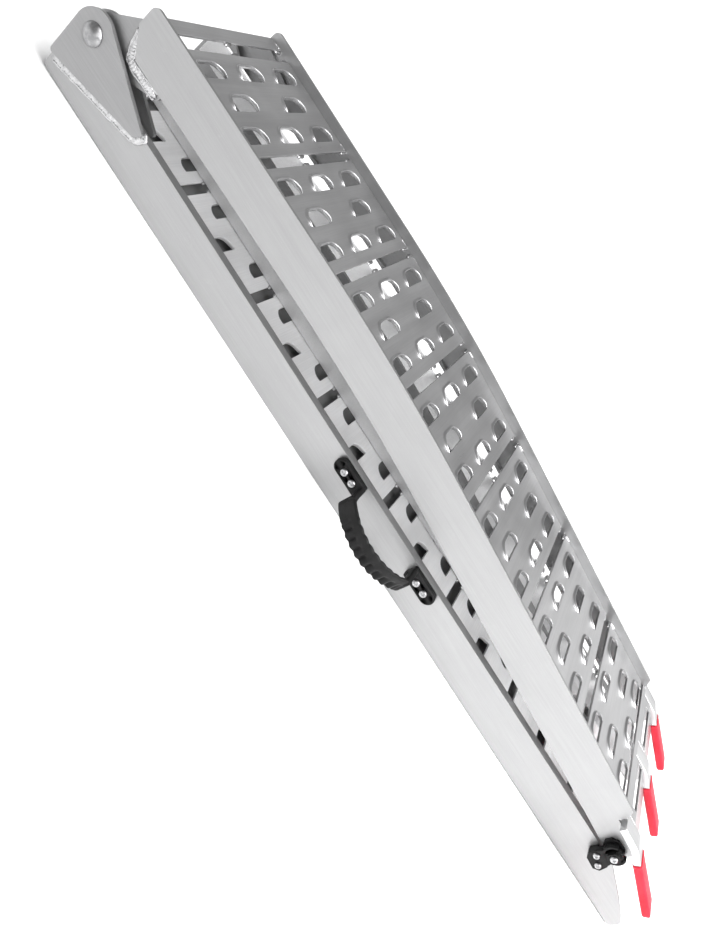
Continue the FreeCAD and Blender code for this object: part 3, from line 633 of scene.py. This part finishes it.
def gap_welds(half, gaps):
    """Short beads that hold each tread to the spine and to the rails, at both edges of every gap."""
    upward = (0, 0, half.side)
    inner_face = WEB + (PLAY if half is LIP else 0.0)
    beads = []
    for start, end in gaps:
        for u in (start, end):
            z = half.side * half.height(u, DECK_UNDER + 0.6)
            x = u + (1 if u == start else -1) * 1.2
            beads.append(([(x, MIDDLE - 7, z), (x, MIDDLE + 7, z)], 2.3, upward, 0.8))
            for y, inward in ((inner_face + 1.0, 1), (SPREAD - inner_face - 1.0, -1)):
                beads.append(([(x, y, z), (x, y + inward * 13, z)], 2.2, upward, 0.8))
        low = half.side * half.height((start + end) / 2, DECK_TOP - 1.5)
        for y in (inner_face + 0.8, SPREAD - inner_face - 0.8):
            beads.append(([(start - 12, y, low), (start - 1, y, low)], 1.9, upward, 0.9))
            beads.append(([(end + 1, y, low), (end + 12, y, low)], 1.9, upward, 0.9))
    return beads


def tread_gaps(treads, before, after):
    """(start, end) of every open gap along a half."""
    gaps = [(before, treads[0][0])]
    for one, two in zip(treads, treads[1:]):
        gaps.append((one[0] + one[1], two[0]))
    gaps.append((treads[-1][0] + treads[-1][1], after))
    return gaps


# the gap between the last lip tread and the lip plate carries no beads
lip_gaps = tread_gaps(LIP_TREADS, before=45.0, after=1011.0)[:-1]
lower_gaps = tread_gaps(LOWER_TREADS, before=-6.0, after=1023.0)
weld_group("weld_treads_lip", "lip_half", gap_welds(LIP, lip_gaps))
weld_group("weld_treads_lower", "lower_half", gap_welds(LOWER, lower_gaps))


# ---------------------------------------------------------------- fingers and their dipped skin

FINGER_WIDTH, FINGER_THICKNESS = 26.0, 8.5
SKIN_WIDTH, SKIN_HEIGHT = 28.6, 11.1
SKIN_START = 1070.4
SKIN_TIP_RADIUS = 5.2


def finger_bar(name, row_y):
    """A bent flat bar with eased edges, running into its vinyl skin."""
    section = rounded_section(FINGER_WIDTH, FINGER_THICKNESS, 1.0, 3)
    stations = ((FINGER_ROOT, 0.0), (FINGER_BEND - 1.5, 0.0), (FINGER_BEND, DROOP / 2),
                (FINGER_BEND + 1.5, DROOP), (1126.0, DROOP))
    rings = []
    for x, slope in stations:
        up = Vector((math.sin(slope), 0, math.cos(slope)))
        centre = Vector((x, row_y, finger_top(x))) - up * (FINGER_THICKNESS / 2)
        rings.append(section_ring(centre, up, section))
    bm = bmesh.new()
    sweep(bm, rings)
    keep_sharp(piece(f"{name}_bar", bm, BAR, "lip_half", "mill_aluminium", name), 25)


def skin_stations(length):
    """(distance, growth) along the skin: a rolled start, a plain middle and a rounded tip."""
    stations = [(0.0, -1.2), (0.25, -0.35), (0.8, 0.0), (2.2, 0.0), (3.2, -0.3), (5.0, -0.4)]
    for step in range(1, 8):
        stations.append((5.0 + (length - 10.5) * step / 8, -0.4))
    for step in range(9):
        angle = math.radians(90 * step / 8)
        stations.append((length - SKIN_TIP_RADIUS + SKIN_TIP_RADIUS * math.sin(angle),
                         -0.4 - SKIN_TIP_RADIUS * 0.72 * (1 - math.cos(angle))))
    return stations


def sleeve(name, row_y):
    """The dipped skin of one finger."""
    along = Vector((math.cos(DROOP), 0, -math.sin(DROOP)))
    up = Vector((math.sin(DROOP), 0, math.cos(DROOP)))
    start = Vector((SKIN_START, row_y, finger_top(SKIN_START))) - up * (FINGER_THICKNESS / 2)
    length = (FINGER_TIP + 1.1 - SKIN_START) / math.cos(DROOP)
    rings = []
    for distance, grow in skin_stations(length):
        section = rounded_section(SKIN_WIDTH + 2 * grow, SKIN_HEIGHT + 1.7 * grow, max(0.8, 3.2 + grow), 5)
        rings.append(section_ring(start + along * distance, up, section))
    bm = bmesh.new()
    sweep(bm, rings)
    keep_sharp(piece(f"{name}_skin", bm, VINYL, "lip_half", "red_vinyl", name), 50)


for row, row_y in (("near", WEB / 2), ("middle", MIDDLE), ("far", SPREAD - WEB / 2)):
    finger_bar(f"finger_{row}", row_y)
    sleeve(f"finger_sleeve_{row}", row_y)


# ---------------------------------------------------------------- handle

HANDLE_X, HANDLE_Z = 592.0, -29.5
GRIP_HALF_LENGTH = 58.5
GRIP_STAND_OFF, GRIP_END_STAND_OFF = 60.0, 31.0
GRIP_THICKNESS, GRIP_HEIGHT = 7.0, 25.0
GRIP_TOP_Z = -20.5
NECK_WIDTH, NECK_HEIGHT = 7.0, 9.0
RIBS_START, RIBS_END = 0.17, 0.95  # shares of the strap's length
GROOVES = 9
GROOVE_DEPTH = 3.6


def grip_section(thick, height):
    """A rounded rectangle with extra points down its front face, which the grooves cut."""
    radius = min(2.6, thick * 0.45)
    section = rounded_section(thick, height, radius, 5)
    straight = height / 2 - radius
    front = [(thick / 2, -straight + 2 * straight * step / 8) for step in range(1, 8)]
    return section + front


def groove_at(share):
    """How deep the grooves run at a share of the strap's length, from 0 to 1."""
    ribbed = min(1.0, max(0.0, (share - RIBS_START) / 0.03)) * min(1.0, max(0.0, (RIBS_END - share) / 0.03))
    wave = 0.5 - 0.5 * math.cos(math.tau * (share - RIBS_START) * GROOVES / (RIBS_END - RIBS_START))
    return ribbed * (1 - wave**0.6)


def strap(bm):
    """The strap itself, on a circular bow: grooved across its front, smooth behind and at its ends."""
    bow = GRIP_STAND_OFF - GRIP_END_STAND_OFF
    radius = (GRIP_HALF_LENGTH**2 + bow**2) / (2 * bow)
    spread = math.asin(GRIP_HALF_LENGTH / radius)
    centre_y = radius - GRIP_STAND_OFF
    rings = []
    steps = 190
    for step in range(steps + 1):
        share = step / steps
        angle = -spread + 2 * spread * share
        out = Vector((math.sin(angle), -math.cos(angle), 0))
        groove = groove_at(share)
        end_gap = min(share, 1 - share) * 2 * spread * radius
        ease = 1 - math.sqrt(max(0.0, 1 - min(1.0, (end_gap + 0.15) / 3.2) ** 2))
        height = GRIP_HEIGHT - 2.4 * groove - 5.0 * (1 - min(1.0, (end_gap + 0.2) / 4.0) ** 0.5)
        thick = GRIP_THICKNESS - 2.4 * ease
        points = []
        for across, rise in grip_section(thick, height):
            front = max(0.0, min(1.0, across / (thick / 2)))
            cut = GROOVE_DEPTH * groove * front * smoothstep((3.0 - rise) / 5.0)
            reach = radius - GRIP_THICKNESS / 2 + across - cut
            z = GRIP_TOP_Z - GRIP_HEIGHT / 2 + rise
            points.append(at(HANDLE_X + out.x * reach, centre_y + out.y * reach, z))
        rings.append(points)
    sweep(bm, rings)


def neck(bm, direction):
    """One of the two necks that join the strap to its caps."""
    section = rounded_section(NECK_WIDTH, NECK_HEIGHT, 2.0, 4)
    rings = []
    for y in (-7.0, -10.0, -14.0, -24.0, -31.0, -34.0):
        x = HANDLE_X + direction * (GRIP_HALF_LENGTH - 4.5 - (0.8 if y < -30 else 0))
        rings.append([at(x + across, y, GRIP_TOP_Z - NECK_HEIGHT / 2 + rise) for across, rise in section])
    sweep(bm, rings)


def grip():
    """The bowed rubber strap and its two necks."""
    bm = bmesh.new()
    strap(bm)
    for direction in (-1, 1):
        neck(bm, direction)
    obj = piece("handle_grip_ribbed", bm, RUBBER, "lower_half", "black_rubber", "handle_grip")
    keep_sharp(obj, 40)


# ---------------------------------------------------------------- screws

SCREW_RISE = 2.6


def cross_screw(bm, centre, face_y, radius):
    """The head of a pan-head screw, standing towards -y on a face: a low dome with a cross recess."""
    arm, width = radius * 0.56, radius * 0.15
    corner = math.atan2(width, arm)
    between = (corner + math.pi / 4) / 2
    shares = (0.0, corner, between, math.pi / 4, math.pi / 2 - between, math.pi / 2 - corner)
    angles = [math.pi / 2 * quarter + share for quarter in range(4) for share in shares]

    def cross(angle):
        folded = angle % (math.pi / 2)
        folded = min(folded, math.pi / 2 - folded)
        return min(arm / math.cos(folded), width / max(1e-6, math.sin(folded)))

    def spin(reaches, rise):
        return [at(centre[0] + reach * math.cos(angle), face_y - rise, centre[1] + reach * math.sin(angle))
                for angle, reach in zip(angles, reaches)]

    dome = ((0.55, -0.6), (1.0, 0.0), (1.0, SCREW_RISE * 0.35), (0.96, SCREW_RISE * 0.62),
            (0.86, SCREW_RISE * 0.82), (0.72, SCREW_RISE * 0.94))
    recess = ((1.0, 0.12, SCREW_RISE), (1.0, 0.0, SCREW_RISE - 0.1), (0.8, 0.0, SCREW_RISE * 0.62))
    rings = [spin([radius * share] * len(angles), rise) for share, rise in dome]
    for share, grow, rise in recess:
        rings.append(spin([cross(angle) * share + grow for angle in angles], rise))
    sweep(bm, rings)


def screws(name, places, face_y, radius, body, node):
    """The heads of one group of screws, at (x, z) places."""
    bm = bmesh.new()
    for centre in places:
        cross_screw(bm, centre, face_y, radius)
    keep_sharp(piece(f"{name}_heads", bm, ZINC, body, "bright_screws", node), 30)


CAP_SCREWS = [(HANDLE_X + sign * reach, HANDLE_Z) for sign in (-1, 1) for reach in (66.5, 81.0)]
JAW_SCREWS = [(1045.8, -24.0), (1058.8, -29.5)]
KNOB_SCREW = [(1051.5, -4.5)]

grip()
screws("handle", CAP_SCREWS, -9.0, 4.5, "lower_half", "handle_screws")
screws("jaw", JAW_SCREWS, -11.0, 4.0, "lower_half", "latch_jaw_screws")
screws("knob", KNOB_SCREW, -15.0, 4.5, "lip_half", "latch_knob_screw")


# ---------------------------------------------------------------- finish of the CAD nodes that stay

HINGE_PLATES = ("clevis_outer", "clevis_inner", "hinge_arm")
cad_look([f"rail_{half}_{side}" for half in ("lower", "lip") for side in SIDES], RAIL, 0.9, 3)
cad_look(["hinge_strip_lip", "lip_plate"], SHEET, 0.5)
# these take the paler copy of the sheet: painted light
cad_look(["hinge_strip_lower", "foot_plate", "spine_lower", "spine_lip"], SHEET_PAINTED_LIGHT, 0.5)
cad_look([f"{part}_{side}" for part in HINGE_PLATES for side in SIDES], PLATE, 0.8, 3)
cad_look([f"hinge_{part}_{side}" for part in ("bolt", "nut", "spacers") for side in SIDES], STEEL, 0.4)
cad_look(["handle_cap_hinge_end", "handle_cap_lip_end"], PLASTIC, 2.2, 4)
cad_look(["latch_jaw", "latch_base", "latch_knob"], PLASTIC, 0.8, 3)


# ---------------------------------------------------------------- floor, lights and camera

FLAT_REACH = 4.0  # the floor is flat this far out, in metres
FLOOR_SIDES = 64
PAINTED_SHADE_INSET = 8.0


def stage_material(name, scale, dark, light, rough_low, rough_high):
    """A matt, faintly clouded surface."""
    graph = Graph(name)
    cloud = graph.noise((scale, scale, scale), 3.0)
    colour = graph.mix(graph.spread(cloud, 0.3, 0.7, 0.0, 1.0), dark, light)
    return graph.done(colour, graph.spread(cloud, 0.3, 0.7, rough_low, rough_high), specular=0.1)


def stage_piece(name, bm, material):
    """A mesh that belongs to the studio and not to the ramp."""
    bmesh.ops.recalc_face_normals(bm, faces=bm.faces)
    mesh = bpy.data.meshes.new(name)
    bm.to_mesh(mesh)
    bm.free()
    mesh.materials.append(material)
    obj = bpy.data.objects.new(name, mesh)
    bpy.context.scene.collection.objects.link(obj)


def floor():
    """A white disc, flat under the ramp and then rising gently to lift its horizon."""
    material = stage_material("floor_white", 0.7, (0.86, 0.86, 0.865), (0.88, 0.88, 0.88), 0.7, 0.8)
    bm = bmesh.new()
    middle = bm.verts.new((0.0, 0.0, 0.0))
    angles = [math.tau * step / FLOOR_SIDES for step in range(FLOOR_SIDES)]
    made = []
    for reach in (FLAT_REACH, 6.0, 10.0, 18.0, 32.0):
        rise = 0.1 * (reach - FLAT_REACH)
        made.append(ring(bm, [Vector((reach * math.cos(a), reach * math.sin(a), rise)) for a in angles]))
    for step in range(FLOOR_SIDES):
        bm.faces.new((middle, made[0][step], made[0][(step + 1) % FLOOR_SIDES]))
    for one, two in zip(made, made[1:]):
        join_rings(bm, one, two)
    stage_piece("studio_floor", bm, material)


def shade_card():
    """Painted shade: a dark card on the floor under the lower half, so that its openings look into shade.
    """
    material = stage_material("painted_shade_card_grey", 6.0, (0.2, 0.2, 0.2), (0.26, 0.26, 0.26), 0.8, 0.9)
    bm = bmesh.new()
    low, high = at(-12.0, PAINTED_SHADE_INSET, 0.0), at(1062.0, SPREAD - PAINTED_SHADE_INSET, 0.0)
    corners = ((low.x, low.y), (high.x, low.y), (high.x, high.y), (low.x, high.y))
    sweep(bm, [[Vector((x, y, z)) for x, y in corners] for z in (0.0004, 0.0012)])
    stage_piece("painted_shade_card", bm, material)


def area_light(name, place, target, size, watts):
    """A rectangular panel, size metres, that faces a target."""
    data = bpy.data.lights.new(name, "AREA")
    data.shape = "RECTANGLE"
    data.size, data.size_y = size
    data.energy = watts
    light = bpy.data.objects.new(name, data)
    light.location = place
    light.rotation_euler = (Vector(target) - Vector(place)).to_track_quat("-Z", "Y").to_euler()
    bpy.context.scene.collection.objects.link(light)


def sky_light(strength, toward, angle):
    """One soft light from overhead and a little from the lip end, the same all over the floor."""
    data = bpy.data.lights.new("sky", "SUN")
    data.energy = strength
    data.angle = angle
    light = bpy.data.objects.new("sky", data)
    light.location = Vector(toward) * 3
    light.rotation_euler = Vector(toward).to_track_quat("Z", "Y").to_euler()
    bpy.context.scene.collection.objects.link(light)


def world(strength):
    """An even white surround."""
    scene_world = bpy.data.worlds.new("studio")
    scene_world.use_nodes = True
    background = scene_world.node_tree.nodes["Background"]
    background.inputs["Color"].default_value = (1.0, 1.0, 1.0, 1.0)
    background.inputs["Strength"].default_value = strength
    bpy.context.scene.world = scene_world


def camera():
    """From above on the handle side, rolled so that the ramp runs down the frame."""
    data = bpy.data.cameras.new("camera")
    data.sensor_fit = "HORIZONTAL"
    data.sensor_width = 36.0
    data.lens = 39.85
    data.clip_start, data.clip_end = 0.01, 100.0
    cam = bpy.data.objects.new("camera", data)
    right = Vector((0.5384, 0.3856, 0.7493)).normalized()
    forward = Vector((0.1115, 0.8488, -0.5169))
    forward = (forward - right * forward.dot(right)).normalized()
    turned = Matrix((right, right.cross(forward), -forward)).transposed().to_4x4()
    cam.matrix_world = Matrix.Translation((-0.1498, -0.83975, 0.51053)) @ turned
    bpy.context.scene.collection.objects.link(cam)
    bpy.context.scene.camera = cam


floor()
shade_card()
world(0.32)
sky_light(strength=3.6, toward=(0.35, -0.12, 1.0), angle=0.8)
area_light("front", place=(1.1, -2.0, 1.4), target=(0.35, 0.0, 0.0), size=(1.6, 0.8), watts=22.0)
area_light("back_panel", place=(1.75, 1.9, 1.05), target=(0.45, 0.0, 0.1), size=(1.3, 0.8), watts=3.2)
area_light("overhead", place=(1.3, -0.5, 1.2), target=(0.8, -0.2, 0.0), size=(1.0, 1.0), watts=34.0)
camera()
view = bpy.context.scene.view_settings
view.view_transform = "Standard"
view.look = "None"
